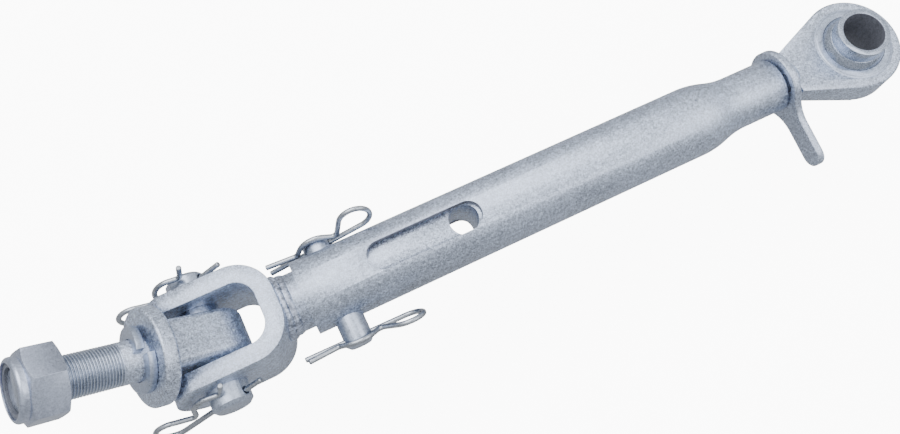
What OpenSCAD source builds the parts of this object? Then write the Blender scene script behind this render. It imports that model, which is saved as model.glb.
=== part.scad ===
// Lower link stabilizer: a telescoping steel strut with a hinged stud end and a swivel ball end.
// The origin is the centre of the ball. X runs along the strut towards the ball,
// Y runs along the locking pin and Z points up through the slot.

/* [Tube] */
// Outer diameter of the outer tube
tube_d = 42.4; // [40:0.1:50]
// Length of the outer tube with its neck
tube_len = 305.4; // [290:0.2:340]
// Outer diameter of the swaged neck
neck_d = 32.5; // [30:0.5:36]
// Length of the neck
neck_len = 34; // [24:1:44]
// Length of the taper between tube and neck
taper_len = 17; // [10:1:26]
// Distance from the neck's end to the centre of the ball
eye_reach = 56.9; // [54:0.1:64]
// Width of the long slot
slot_w = 16.6; // [16.4:0.1:18]
// Distance between the centres of the slot's two round ends
slot_run = 51; // [40:1:60]
// Distance from the tube's open end to the first centre of the slot
slot_from_end = 47; // [44:1:56]

/* [Inner bar] */
// Diameter of the inner bar
bar_d = 33; // [30:0.2:34]
// Length of the bar inside the tube
bar_inside = 122; // [112:1:134]
// Length of the bar between the fork and the tube
bar_gap = 11.8; // [9:0.2:16]
// Distance along the bar from the locking hole to the float hole
hole_step = 78.3; // [70:0.1:84]
// Diameter of the two cross holes in the bar
bar_hole_d = 17; // [16.6:0.1:18]
// Width of the weld bead across the fork's back
bead_w = 3; // [2:0.2:5]
// Length of the weld bead along the bar
bead_len = 7; // [4:0.2:8]

/* [Fork] */
// Free height between the fork's legs
fork_gap = 34.4; // [33:0.1:37]
// Thickness of the fork's strap
strap_t = 10; // [8:0.5:12]
// Width of the fork's strap
strap_w = 46; // [42:1:48]
// Distance from the hinge axis to the back of the bend
fork_reach = 43.2; // [42:0.2:50]
// Outer radius of the fork's bends
bend_r = 21; // [14:1:24]
// Radius of the legs' rounded ends about the hinge axis
leg_r = 26.4; // [25:0.1:27]
// Turn of the welded fork about the bar
fork_roll = -5; // [-8:1:8]

/* [Hinge pin] */
// Diameter of the hinge pin
hinge_pin_d = 22; // [18:0.5:24]
// Distance from the hinge pin's middle to each of its cross holes
hinge_hole_off = 33.6; // [32:0.1:36]
// Direction of the hinge pin's cross holes, turned about the pin from the strut
hinge_pin_turn = 32; // [0:1:40]

/* [Locking pin] */
// Diameter of the locking pin
lock_pin_d = 16; // [14:0.1:16.2]
// Distance from the tube's open end to the locking pin
lock_from_end = 17.7; // [15:0.1:22]
// Distance from the locking pin's middle to each of its cross holes
lock_hole_off = 27.2; // [26:0.1:30]
// Direction of the locking pin's upper cross hole, turned about the pin from the strut
lock_upper_turn = 17; // [0:1:30]
// Direction of the locking pin's lower cross hole, turned about the pin from the strut
lock_lower_turn = -5; // [-20:1:20]

/* [Pins and clips] */
// Length of a pin beyond the centre of its cross hole
pin_tail = 5; // [4.5:0.1:6]
// Chamfer on the ends of the pins
pin_chamfer = 2; // [1:0.1:2]
// Diameter of the cross holes for the clips
clip_hole_d = 4.6; // [4:0.1:5]
// Diameter of the clips' wire
wire_d = 3; // [2.5:0.1:3.2]
// Radius of the clip's round loop at the middle of the wire
loop_r = 8.8; // [6:0.1:9.5]
// Distance from the middle of the clip's bow to the middle of its loop
loop_off = 28; // [27:0.2:34]
// Length of the straight leg past the middle of the bow
leg_past = 30.4; // [24:0.2:32]
// Length of the straight tail on the locking clips' wavy legs
wavy_tail = 16.5; // [8:0.5:18]
// Distance between the two legs where they come closest
leg_pinch = 3.4; // [3.3:0.1:4]
// Slope of the tail on the locking clips' wavy legs
tail_slope = 14; // [6:1:18]
// How far the upper hinge clip stands off towards its loop
hinge_upper_off = 5; // [4:0.1:9]
// How far the lower hinge clip stands off towards its loop
hinge_lower_off = 8; // [4:0.1:9]
// How far the wavy legs of the hinge pin's clips are sprung open, as a slope
hinge_clip_open = 0.22; // [0.2:0.01:0.3]
// Length of the straight tail on the hinge clips' wavy legs
hinge_tail = 8; // [6:0.2:12]
// Slope of the tail on the hinge clips' wavy legs
hinge_tail_slope = 36; // [20:1:70]
// Swing of the upper hinge clip out of the plane square to its pin
hinge_upper_swing = 8; // [0:1:12]
// Swing of the lower hinge clip out of the plane square to its pin
hinge_lower_swing = 10; // [0:1:12]
// Swing of the upper locking clip out of the plane square to its pin
lock_upper_swing = 17; // [0:1:40]
// Swing of the lower locking clip out of the plane square to its pin
lock_lower_swing = -22; // [-40:1:0]

/* [Eye bolt] */
// Diameter of the stud
stud_d = 22; // [18:0.5:22]
// Distance from the hinge axis to the end of the stud
stud_reach = 97; // [92:1:112]
// Distance from the hinge axis to the flange
flange_off = 27.9; // [27.2:0.1:30]
// Thickness of the flange
flange_t = 8.4; // [6:0.2:9]
// Diameter of the flange
flange_d = 52; // [50:0.5:56]
// Rounding of the flange's rim
flange_edge = 1.6; // [1:0.1:3]
// Height of the lug along the hinge pin
lug_h = 26.2; // [22:0.2:27]
// How far the lug's middle lies from the stud's axis, along the hinge pin
lug_shift = -1.8; // [-3:0.1:3]
// Radius of the lug about the hinge axis
lug_r = 20.5; // [19:0.1:22]
// Rounding of the lug's edges
lug_edge = 4.5; // [3:0.5:6]
// Angle of the stud from the strut's axis
stud_angle = 35.2; // [0:0.2:60]

/* [Nut and washer] */
// Width of the lock nut across its flats
nut_af = 34; // [32:0.5:36]
// Height of the nut's hexagon
hex_h = 17.4; // [16:0.2:19]
// Height of the whole nut with its collar
nut_h = 21.6; // [20.4:0.2:24]
// Distance from the hinge axis to the nut's bearing face
nut_off = 77.6; // [76:0.2:79]
// Radius of the nut's collar
collar_r = 15.7; // [14.5:0.1:16]
// Radius of the clear mouth at the collar's end
mouth_r = 13.4; // [12.6:0.1:13.8]
// Height of the nylon ring in the collar
insert_h = 4; // [3:0.5:5]
// Turn of the nut about the stud
nut_turn = -10; // [-30:1:30]
// Outer diameter of the spring washer
washer_d = 35.2; // [34:0.2:38]
// Thickness of the spring washer's section
washer_t = 4; // [3:0.5:4.5]
// Rise of the washer from one side of its split to the other
washer_rise = 4.4; // [4:0.1:5]
// Direction of the washer's split about the stud
washer_turn = -7; // [-40:1:40]

/* [Ball end] */
// Diameter of the ball
ball_d = 42; // [41:0.2:44]
// Length of the ball's sleeve
sleeve_len = 45; // [42:1:48]
// Outer diameter of the sleeve
sleeve_d = 31.4; // [30:0.2:32.4]
// Bore of the ball
ball_bore_d = 25; // [22:0.1:26]
// Thickness of the eye's flat head
head_t = 18; // [16:0.5:20]
// Outer radius of the eye's head
head_r = 29.8; // [28:0.1:32]
// Outer radius of the race pressed into the eye
race_r = 24; // [23.2:0.1:25]
// How far the race stands proud of the head
race_proud = 0.6; // [0:0.1:1]
// Slope of the head's back towards the shank
back_slope = 6.6; // [0:0.2:8]
// Lean of the head's straight flanks
flank_angle = 21.5; // [18:0.5:24]
// Distance from the ball's centre to where the flanks meet the shank
flank_off = 46; // [42:0.2:47]
// Diameter of the round shank behind the lever
shank_d = 25; // [24:0.5:26]
// Diameter of the threaded rod
rod_d = 24; // [20:0.5:24]
// Length of the threaded rod left of the shank
rod_len = 92; // [70:1:110]
// Turn of the eye about the strut's axis
eye_roll = -3; // [-10:1:10]

/* [Lever] */
// Thickness of the lever plate
lever_t = 4.6; // [3:0.1:5]
// Outer radius of the lever's ring
lever_r = 20.5; // [19:0.5:23]
// Distance from the rod's axis to the arm's tip
lever_reach = 55.5; // [45:0.5:70]
// Width of the arm at its tip
arm_w = 14.6; // [12:0.2:18]
// Radius of the blends between ring and arm
arm_blend = 20; // [8:1:26]
// Gap between the lever's ring and the neck
lever_gap = 1.6; // [0.5:0.1:2]
// Direction of the arm, turned about the strut from straight down
lever_turn = 7; // [-20:1:20]

/* [Fits] */
// Radial clearance of the pins in their holes
pin_fit = 0.1; // [0.05:0.01:0.2]
// Radial clearance of the bar in the tube
bar_fit = 0.1; // [0.05:0.01:0.3]
// Radial clearance in the threads
thread_fit = 0.05; // [0.03:0.01:0.1]
// Radial clearance of the ball in its race
ball_fit = 0.05; // [0.03:0.01:0.1]
// Clearance of the washer on the shank and at the flange
washer_fit = 0.3; // [0.2:0.05:0.6]
// Clearance of the clips at their pins
clip_fit = 0.15; // [0.1:0.05:0.2]

/* [Hidden] */
$fn = 72;

neck_end_x = -eye_reach;
tube_end_x = neck_end_x - tube_len;
neck_start_x = neck_end_x - neck_len;
taper_start_x = neck_start_x - taper_len;
fork_back_x = tube_end_x - bar_gap;
hinge_x = fork_back_x - fork_reach;
lock_x = tube_end_x + lock_from_end;
float_x = lock_x + hole_step;
slot_a_x = tube_end_x + slot_from_end;
slot_b_x = slot_a_x + slot_run;
bar_end_x = tube_end_x + bar_inside;
lever_left_x = neck_end_x + lever_gap;
lever_right_x = lever_left_x + lever_t;

tube_id = bar_d + 2 * bar_fit;
fork_h = fork_gap + 2 * strap_t;
inner_bend_r = bend_r - strap_t;
wire_r = wire_d / 2;
lock_shift = tube_d / 2 + wire_r + clip_fit - lock_hole_off;
collar_edge = 2;
bend_wire_r = 3;
shank_gap = 0.1;
insert_r = mouth_r + 0.6;
insert_top = 1.2;
nut_corner_r = nut_af / 2 / cos(30);
washer_id = stud_d + 2 * washer_fit;
washer_off = flange_off + flange_t + washer_fit;
ball_r = ball_d / 2;
race_h = head_t / 2 + race_proud;
cut = 1;
far = 200;

// Turns a shape drawn along Z so that it lies along X.
module along_x() {
    rotate([0, 90, 0]) children();
}

// Turns a shape drawn along Z so that it lies along Y.
module along_y() {
    rotate([-90, 0, 0]) children();
}

// Places a shape on the fork's hinge axis, with the weld's turn about the bar.
module at_hinge() {
    translate([hinge_x, 0, 0]) rotate([fork_roll, 0, 0]) children();
}

// Places a shape on the stud's own axis, which points along -X before it is tilted.
module on_stud() {
    at_hinge() rotate([0, stud_angle, 0]) children();
}

// A rectangle with rounded corners, centred.
module round_rect(w, h, r) {
    square([w, h - 2 * r], center = true);
    square([w - 2 * r, h], center = true);
    for (i = [-1, 1], j = [-1, 1]) translate([i * (w / 2 - r), j * (h / 2 - r)]) circle(r);
}

// A pin along Y with chamfered ends and a cross hole near each end.
module cross_pin(d, hole_off, low_turn, high_turn) {
    half = hole_off + pin_tail;
    difference() {
        along_y() rotate_extrude() polygon([
            [0, -half], [d / 2 - pin_chamfer, -half], [d / 2, -half + pin_chamfer],
            [d / 2, half - pin_chamfer], [d / 2 - pin_chamfer, half], [0, half]
        ]);
        translate([0, -hole_off, 0]) rotate([0, -low_turn, 0])
            along_x() cylinder(d = clip_hole_d, h = far, center = true);
        translate([0, hole_off, 0]) rotate([0, -high_turn, 0])
            along_x() cylinder(d = clip_hole_d, h = far, center = true);
    }
}

function polar(c, r, a) = [c[0] + r * cos(a), c[1] + r * sin(a)];

// Stations along an arc: each holds a point and the direction of travel there.
function arc(c, r, a, b, n) = [
    for (i = [0:n]) let (t = a + (b - a) * i / n)
        [c[0] + r * cos(t), c[1] + r * sin(t), t + 90 * sign(b - a)]
];

// A round wire swept along stations in the XY plane, closed at both ends.
module wire(stations) {
    sides = 10;
    last = len(stations) - 1;
    points = [
        for (s = stations, j = [0:sides - 1]) let (a = 360 * j / sides)
            [s[0] - wire_r * cos(a) * sin(s[2]), s[1] + wire_r * cos(a) * cos(s[2]), wire_r * sin(a)]
    ];
    faces = concat(
        [[for (j = [0:sides - 1]) j], [for (j = [sides - 1:-1:0]) last * sides + j]],
        [
            for (i = [0:last - 1], j = [0:sides - 1])
                let (a = i * sides + j, b = i * sides + (j + 1) % sides)
                each [[a, a + sides, b + sides], [a, b + sides, b]]
        ]
    );
    polyhedron(points, faces);
}

// Leans stations over, more with each millimetre away from the clip's loop.
function sprung(stations, slope) = [
    for (s = stations) [
        s[0], s[1] + slope * (loop_off - s[0]),
        atan2(sin(s[2]) - slope * cos(s[2]), cos(s[2]))
    ]
];

// A hairpin clip in the XY plane. Its straight leg lies on the X axis, the loop is on the
// +X side, and the wavy leg bows over a locking pin along Z, on the +Y side.
module hairpin_clip(slope, tail, lean_out) {
    bow_r = (lock_pin_d / 2 + wire_r + clip_fit) / cos(lock_lower_swing);
    rise = 45;
    bow_in = polar([0, 0], bow_r, rise);
    bow_out = polar([0, 0], bow_r, 180 - rise);
    ramp = (bow_in[1] - leg_pinch - bend_wire_r * (1 - cos(rise))) / sin(rise);
    pinch_end = [bow_in[0] + ramp * cos(rise), bow_in[1] - ramp * sin(rise)];
    pinch_c = polar(pinch_end, bend_wire_r, rise);
    loop_c = [loop_off, loop_r];
    span = norm(pinch_c - loop_c);
    lean = atan2(loop_c[1] - pinch_c[1], loop_c[0] - pinch_c[0]);
    dip = asin((loop_r + bend_wire_r) / span) + lean;
    tail_in = [bow_out[0] - ramp * cos(rise), bow_out[1] - ramp * sin(rise)];
    tail_c = polar(tail_in, bend_wire_r, 180 - rise);
    tail_start = polar(tail_c, bend_wire_r, 270 - lean_out);
    tail_end = polar(tail_start, tail, 180 - lean_out);
    wire(concat(
        [[-leg_past, 0, 0]],
        arc(loop_c, loop_r, -90, 90 + dip, 20),
        sprung(concat(
            arc(pinch_c, bend_wire_r, 270 + dip, 180 + rise, 5),
            arc([0, 0], bow_r, rise, 180 - rise, 10),
            arc(tail_c, bend_wire_r, 360 - rise, 270 - lean_out, 5),
            [[tail_end[0], tail_end[1], 180 - lean_out]]
        ), slope)
    ));
}

// The outer tube: swaged to a neck at the ball end, slotted on both flat sides
// and cross drilled for the locking pin near its open end.
module outer_tube() {
    rod_r = rod_d / 2 + thread_fit;
    color("lightsteelblue") difference() {
        along_x() rotate_extrude() polygon([
            [tube_id / 2, tube_end_x], [tube_d / 2, tube_end_x], [tube_d / 2, taper_start_x],
            [neck_d / 2, neck_start_x], [neck_d / 2, neck_end_x], [rod_r, neck_end_x],
            [rod_r, neck_start_x], [tube_id / 2, taper_start_x]
        ]);
        for (x = [slot_a_x, slot_b_x]) translate([x, 0, 0])
            cylinder(d = slot_w, h = tube_d + cut, center = true);
        translate([(slot_a_x + slot_b_x) / 2, 0, 0])
            cube([slot_run, slot_w, tube_d + cut], center = true);
        translate([lock_x, 0, 0]) along_y()
            cylinder(d = lock_pin_d + 2 * pin_fit, h = tube_d + cut, center = true);
    }
}

// The outline of the fork seen along its width: a bent strap open towards -X.
module strap_outline(back, h, r, front) {
    translate([front, -h / 2]) square([back - r - front, h]);
    translate([back - r - cut, -h / 2 + r]) square([r + cut, h - 2 * r]);
    for (s = [-1, 1]) translate([back - r, s * (h / 2 - r)]) circle(r);
}

// The solid inside the fork's outer faces, which the bar and the bead are fitted to.
module fork_envelope() {
    at_hinge() linear_extrude(height = strap_w, center = true)
        strap_outline(fork_reach, fork_h, bend_r, -leg_r);
}

module fork() {
    color("silver") at_hinge() difference() {
        intersection() {
            linear_extrude(height = strap_w, center = true) difference() {
                strap_outline(fork_reach, fork_h, bend_r, -leg_r);
                strap_outline(fork_reach - strap_t, fork_gap, inner_bend_r, -leg_r - cut);
            }
            union() {
                along_y() cylinder(r = leg_r, h = far, center = true);
                translate([fork_reach / 2 + cut / 2, 0, 0])
                    cube([fork_reach + cut, far, far], center = true);
            }
        }
        along_y() cylinder(d = hinge_pin_d + 2 * pin_fit, h = far, center = true);
    }
}

// The bar that slides in the tube. Its end is coped to the back of the fork.
module inner_bar() {
    cope = bend_r;
    color("silver") difference() {
        translate([fork_back_x - cope / 2, 0, 0]) along_x()
            cylinder(d = bar_d, h = bar_end_x - fork_back_x + cope / 2);
        fork_envelope();
        translate([lock_x, 0, 0]) along_y() cylinder(d = bar_hole_d, h = far, center = true);
        translate([float_x, 0, 0]) cylinder(d = bar_hole_d, h = far, center = true);
    }
}

// The fillet weld that joins the bar's coped end to the back of the fork.
module weld_bead() {
    r = bar_d / 2;
    back = -2 * bead_w;
    color("slategray") difference() {
        translate([fork_back_x, 0, 0]) along_x() rotate_extrude() polygon([
            [r, back], [r + bead_w, back], [r + bead_w, 0.1 * bead_len],
            [r + 0.86 * bead_w, 0.4 * bead_len], [r + 0.55 * bead_w, 0.75 * bead_len],
            [r + 0.15 * bead_w, bead_len], [r, bead_len]
        ]);
        fork_envelope();
    }
}

module locking_pin() {
    color("gainsboro") translate([lock_x, lock_shift, 0])
        cross_pin(lock_pin_d, lock_hole_off, lock_lower_turn, lock_upper_turn);
}

// Places a clip in a cross hole of the locking pin, with its loop towards the ball.
module locking_clip(side, turn, swing) {
    color("silver") translate([lock_x, lock_shift + side * lock_hole_off, 0])
        rotate([0, -turn, 0]) rotate([90 - swing, 0, 0]) hairpin_clip(0, wavy_tail, tail_slope);
}

module locking_pin_clip_upper() {
    locking_clip(1, lock_upper_turn, lock_upper_swing);
}

module locking_pin_clip_lower() {
    locking_clip(-1, lock_lower_turn, lock_lower_swing);
}

module hinge_pin() {
    color("gainsboro") at_hinge()
        cross_pin(hinge_pin_d, hinge_hole_off, hinge_pin_turn, hinge_pin_turn);
}

// Places a clip in a cross hole of the hinge pin, with its loop away from the ball.
// It is pushed in only as far as the thicker pin lets its wavy leg go.
module hinge_clip(side, off, swing) {
    color("silver") at_hinge() translate([0, side * hinge_hole_off, 0])
        rotate([0, -hinge_pin_turn, 0]) rotate([90 - swing, 0, 0]) rotate([0, 180, 0])
        translate([off, 0, 0])
        hairpin_clip(hinge_clip_open, hinge_tail, hinge_tail_slope);
}

module hinge_pin_clip_upper() {
    hinge_clip(1, hinge_upper_off, hinge_upper_swing);
}

module hinge_pin_clip_lower() {
    hinge_clip(-1, hinge_lower_off, hinge_lower_swing);
}

// The forged eye bolt: a lug with rounded edges, a round flange and a stud.
module eye_bolt() {
    flange_end = flange_off + flange_t;
    r = flange_edge;
    fr = flange_d / 2;
    tip = 1.5;
    color("silver") on_stud() difference() {
        union() {
            translate([0, lug_shift, 0]) along_y() rotate_extrude() {
                translate([0, -lug_h / 2]) square([lug_r - lug_edge, lug_h]);
                translate([0, -lug_h / 2 + lug_edge]) square([lug_r, lug_h - 2 * lug_edge]);
                for (s = [-1, 1]) translate([lug_r - lug_edge, s * (lug_h / 2 - lug_edge)])
                    circle(lug_edge);
            }
            translate([0, lug_shift, 0]) rotate([0, -90, 0])
                linear_extrude(height = flange_off + cut)
                round_rect(2 * lug_r, lug_h, lug_edge);
            rotate([0, -90, 0]) rotate_extrude() {
                translate([0, flange_off]) square([fr - r, flange_t]);
                translate([0, flange_off + r]) square([fr, flange_t - 2 * r]);
                for (z = [flange_off + r, flange_end - r]) translate([fr - r, z]) circle(r);
            }
            rotate([0, -90, 0]) rotate_extrude() polygon([
                [0, flange_end - cut], [stud_d / 2, flange_end - cut],
                [stud_d / 2, stud_reach - tip], [stud_d / 2 - tip, stud_reach], [0, stud_reach]
            ]);
        }
        along_y() cylinder(d = hinge_pin_d + 2 * pin_fit, h = far, center = true);
    }
}

// A split spring washer: a square section carried round one turn of a helix.
module spring_washer() {
    steps = 44;
    gap = 8;
    inner = washer_id / 2;
    outer = washer_d / 2;
    half_gap = gap / 2;
    points = [
        for (i = [0:steps]) let (t = i / steps, a = -half_gap - t * (360 - gap), z = washer_rise * pow(t, 4))
            each [
                [inner * cos(a), inner * sin(a), z], [outer * cos(a), outer * sin(a), z],
                [outer * cos(a), outer * sin(a), z + washer_t],
                [inner * cos(a), inner * sin(a), z + washer_t]
            ]
    ];
    last = 4 * steps;
    faces = concat(
        [[3, 2, 1, 0], [last, last + 1, last + 2, last + 3]],
        [
            for (i = [0:steps - 1], j = [0:3]) let (a = 4 * i + j, b = 4 * i + (j + 1) % 4)
                each [[b + 4, a + 4, a], [b, b + 4, a]]
        ]
    );
    color("silver") on_stud() rotate([0, -90, 0]) translate([0, 0, washer_off])
        rotate([0, 0, washer_turn]) polyhedron(points, faces);
}

// The nut: a chamfered hexagon with a round collar that is turned in over the nylon ring.
module lock_nut() {
    chamfer = 2.2;
    bore_r = stud_d / 2 + thread_fit;
    e = collar_edge;
    color("lightgray") on_stud() rotate([0, -90, 0]) translate([0, 0, nut_off])
        rotate([0, 0, nut_turn]) difference() {
            union() {
                intersection() {
                    cylinder(r = nut_corner_r, h = hex_h, $fn = 6);
                    rotate_extrude() polygon([
                        [0, 0], [nut_af / 2 - 0.3, 0], [nut_corner_r + 0.1, chamfer / 2],
                        [nut_corner_r + 0.1, hex_h - chamfer], [nut_af / 2 - 1.2, hex_h], [0, hex_h]
                    ]);
                }
                rotate_extrude() {
                    square([collar_r - e, nut_h]);
                    square([collar_r, nut_h - e]);
                    translate([collar_r - e, nut_h - e]) circle(e);
                }
            }
            translate([0, 0, -cut]) cylinder(r = bore_r, h = nut_h + 2 * cut);
            translate([0, 0, nut_h - insert_top - insert_h])
                cylinder(r = insert_r, h = insert_h);
            translate([0, 0, nut_h - insert_top - cut / 2]) cylinder(r = mouth_r, h = far);
        }
}

module nut_insert() {
    color("slategray") on_stud() rotate([0, -90, 0])
        translate([0, 0, nut_off + nut_h - insert_top - insert_h]) rotate_extrude()
            translate([stud_d / 2 + thread_fit, 0])
                square([insert_r - stud_d / 2 - 2 * thread_fit, insert_h]);
}

// The outline of the eye's flat head: a disc with two straight flanks to the shank.
module head_outline() {
    tip = head_r / sin(flank_angle);
    reach = tip - flank_off;
    circle(head_r);
    polygon([
        polar([0, 0], head_r, 90 + flank_angle), [-flank_off, reach * tan(flank_angle)],
        [-flank_off, -reach * tan(flank_angle)], polar([0, 0], head_r, -90 - flank_angle)
    ]);
}

// The eye rod: a flat forged head with an open eye, a round shank and a threaded rod.
module eye_rod() {
    edge = 1.2;
    back_start = 6;
    shank_start = lever_right_x + shank_gap;
    shank_end = -flank_off + 5;
    dome = shank_d / 2 - head_t / 2 + 0.5;
    tip = 2;
    color("silver") rotate([eye_roll, 0, 0]) difference() {
        union() {
            difference() {
                intersection() {
                    linear_extrude(height = head_t, center = true) head_outline();
                    union() {
                        rotate_extrude() polygon([
                            [0, -head_t / 2], [head_r - edge, -head_t / 2],
                            [head_r, edge - head_t / 2], [head_r, head_t / 2 - edge],
                            [head_r - edge, head_t / 2], [0, head_t / 2]
                        ]);
                        translate([-far / 2 - head_r * sin(flank_angle), 0, 0])
                            cube(far, center = true);
                    }
                }
                translate([-back_start, 0, -head_t / 2]) rotate([0, back_slope, 0])
                    translate([-far / 2, 0, -far / 2]) cube(far, center = true);
            }
            along_x() rotate_extrude() polygon([
                [0, shank_start], [shank_d / 2, shank_start], [shank_d / 2, shank_end - dome],
                [shank_d / 2 - dome, shank_end], [0, shank_end]
            ]);
            along_x() rotate_extrude() polygon([
                [0, lever_right_x - rod_len], [rod_d / 2 - tip, lever_right_x - rod_len],
                [rod_d / 2, lever_right_x - rod_len + tip], [rod_d / 2, shank_start + cut],
                [0, shank_start + cut]
            ]);
        }
        cylinder(r = race_r, h = far, center = true);
    }
}

// The race: a ring with a spherical seat, pressed into the eye.
module ball_race() {
    rim = 1.6;
    lip = 0.5;
    color("lightsteelblue") rotate([eye_roll, 0, 0]) difference() {
        rotate_extrude() polygon([
            [rim, -race_h], [race_r - rim, -race_h], [race_r - rim + lip, lip - race_h],
            [race_r, lip - race_h], [race_r, race_h - lip], [race_r - rim + lip, race_h - lip],
            [race_r - rim, race_h], [rim, race_h]
        ]);
        sphere(ball_r + ball_fit);
    }
}

// The ball: a sphere on a through-bored sleeve with a stepped shoulder.
module ball() {
    step_r = sleeve_d / 2 + 0.4;
    step_h = sqrt(ball_r * ball_r - step_r * step_r) + 0.3;
    color("lightgray") rotate([eye_roll, 0, 0]) difference() {
        union() {
            sphere(ball_r);
            cylinder(r = step_r, h = 2 * step_h, center = true);
            cylinder(d = sleeve_d, h = sleeve_len, center = true);
        }
        cylinder(d = ball_bore_d, h = far, center = true);
        for (s = [0, 1]) mirror([0, 0, s]) translate([0, 0, sleeve_len / 2])
            cylinder(r = far, h = far);
    }
}

// The locking lever: a threaded ring plate with a flat arm, blended at both sides.
module locking_lever() {
    half = arm_w / 2;
    side = half + arm_blend;
    along = sqrt(pow(lever_r + arm_blend, 2) - side * side);
    lean = atan2(along, side);
    outline = concat(
        arc([0, 0], lever_r, -lean, 180 + lean, 60),
        arc([-side, -along], arm_blend, lean, 0, 10),
        arc([0, half - lever_reach], half, 180, 360, 24),
        arc([side, -along], arm_blend, 180, 180 - lean, 10)
    );
    count = len(outline) - 1;
    color("lightsteelblue") translate([lever_left_x, 0, 0]) rotate([lever_turn, 0, 0])
        along_x() linear_extrude(height = lever_t) difference() {
            polygon([for (i = [0:count - 1]) [outline[i][0], outline[i][1]]]);
            circle(rod_d / 2 + thread_fit);
        }
}

outer_tube();
inner_bar();
fork();
weld_bead();
locking_pin();
locking_pin_clip_upper();
locking_pin_clip_lower();
hinge_pin();
hinge_pin_clip_upper();
hinge_pin_clip_lower();
eye_bolt();
spring_washer();
lock_nut();
nut_insert();
eye_rod();
ball_race();
ball();
locking_lever();
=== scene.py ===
import math
import bpy
import bmesh
from mathutils import Matrix, Vector


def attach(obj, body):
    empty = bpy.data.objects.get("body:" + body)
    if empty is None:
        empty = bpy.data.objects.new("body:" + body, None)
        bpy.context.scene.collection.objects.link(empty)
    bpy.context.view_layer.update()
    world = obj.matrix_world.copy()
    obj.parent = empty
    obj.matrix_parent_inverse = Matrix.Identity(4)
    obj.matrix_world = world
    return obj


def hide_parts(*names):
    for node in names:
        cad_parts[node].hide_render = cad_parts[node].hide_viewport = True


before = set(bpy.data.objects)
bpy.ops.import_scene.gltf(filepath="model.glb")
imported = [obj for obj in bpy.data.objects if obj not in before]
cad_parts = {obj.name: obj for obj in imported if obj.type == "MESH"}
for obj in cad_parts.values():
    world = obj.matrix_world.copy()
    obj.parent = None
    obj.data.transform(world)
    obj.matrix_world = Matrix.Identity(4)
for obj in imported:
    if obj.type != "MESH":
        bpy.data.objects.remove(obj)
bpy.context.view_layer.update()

MM = 0.001
SCENE = bpy.context.scene

# Driving dimensions in millimetres and degrees, as in the part's source or worked out from its
# parameters. The strut lies along X with the swivel ball's centre at the origin.
HINGE_X = -417.3
FORK_ROLL = -5
FORK_REACH = 43.2
FORK_H = 54.4
BEND_R = 21
BAR_R = 16.5

STUD_ANGLE = 35.2
STUD_D = 22
STUD_REACH = 97

TUBE_R = 21.2
TAPER_START = -107.9
NECK_START = -90.9
NECK_R = 16.25

ROD_D = 24
ROD_END = -142.7
LEVER_RIGHT = -50.7
EYE_ROLL = -3
BORE_R = 12.5

LOCK_X = -344.6
LOCK_PIN_D = 16
LOCK_HOLE_OFF = 27.2
HINGE_HOLE_OFF = 33.6
HINGE_CLIP_TURN = 32
LOWER_SWING = -22

WIRE_R = 1.5
CLIP_FIT = 0.15
LOOP_R = 8.8
LOOP_OFF = 28
LEG_PAST = 30.4
LEG_PINCH = 3.4
WIRE_BEND = 3
BOW_RISE = 45
# a clip's opening slope, tail length and tail angle
LOCKING_CLIP = (0, 16.5, 14)
HINGE_CLIP = (0.22, 8, 36)
# clips across the locking pin: name, side, turn about the pin, swing
LOCKING_CLIPS = [
    ("locking_pin_clip_upper", 1, 17, 17),
    ("locking_pin_clip_lower", -1, -5, LOWER_SWING),
]
# clips across the hinge pin: name, side, distance off the middle, swing
HINGE_CLIPS = [
    ("hinge_pin_clip_upper", 1, 5, 8),
    ("hinge_pin_clip_lower", -1, 8, 10),
]

# Details that only this scene has, in millimetres where nothing else is said.
TAPER_BLEND = 7
TAPER_STEPS = 4
# how far inside the outer skin a point may lie and still count as part of it
NECK_SKIN = 0.4
TAPER_SKIN = 1.2
# where the long slot's walls, which get painted shade, are looked for: along the tube, to each
# side, above and below the middle, and how far inside the tube's skin
SLOT_START = -324
SLOT_END = -255
SLOT_SIDE = 8.6
SLOT_ABOVE = 12
SLOT_SKIN = 0.2
# how far from the middle the race's seat and, past the bore's own radius, the bore are looked for
SEAT_R = 19.2
BORE_MARGIN = 0.1
FORGED_EDGE = 0.35
EDGE_SEGMENTS = 2
# angles in degrees: edges sharper than this are rounded, faces flatter than this are joined
SHARP_EDGE = 35
FLAT_FACES = 0.6
# threads: distance from the hinge to the stud's thread, and both pitches
THREAD_START = 49.7
STUD_PITCH = 1.5
ROD_PITCH = 3
# threads: depth and run out in pitches, where the profile's flat root ends and its flat crest
# starts, the depth left at the run out's start, columns round the thread and rows for each turn
THREAD_DEPTH = 0.61
THREAD_RUN_OUT = 1.2
THREAD_FLATS = (0.25, 0.875)
RUN_OUT_DEPTH = 0.15
THREAD_COLUMNS = 97
STUD_ROWS = 10
ROD_ROWS = 12
# how far a thread starts inside its forged body
STUD_THREAD_LAP = 0.4
ROD_THREAD_LAP = 0.3
# wire: length of a tip's rounding, its end's share of the wire's radius, sides, degrees a step
TIP_ROUNDING = 0.7
TIP_SHARE = 0.55
WIRE_SIDES = 24
ARC_STEP = 5
# weld: ripple height, lowest radius and steepness as shares, lumps per metre, steps round the bar
WELD_RIPPLE = 0.012
RIPPLE_BASE = 0.92
RIPPLE_POWER = 0.6
LUMP_SCALE = 150
WELD_STEPS = 180
# weld passes: name, radius of the ring, offset from the fork's back, bead radius, lump height
WELD_PASSES = [
    ("weld_bead_rippled", BAR_R - 0.6, 0.8, 3.1, 0.8),
    ("weld_second_pass", BAR_R - 3.6, 3.6, 5.0, 1.0),
]
# distances in metres for joining points and for cutting
MERGE = 2e-6
SLIVER = 1e-6
CUT = 1e-7
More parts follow.
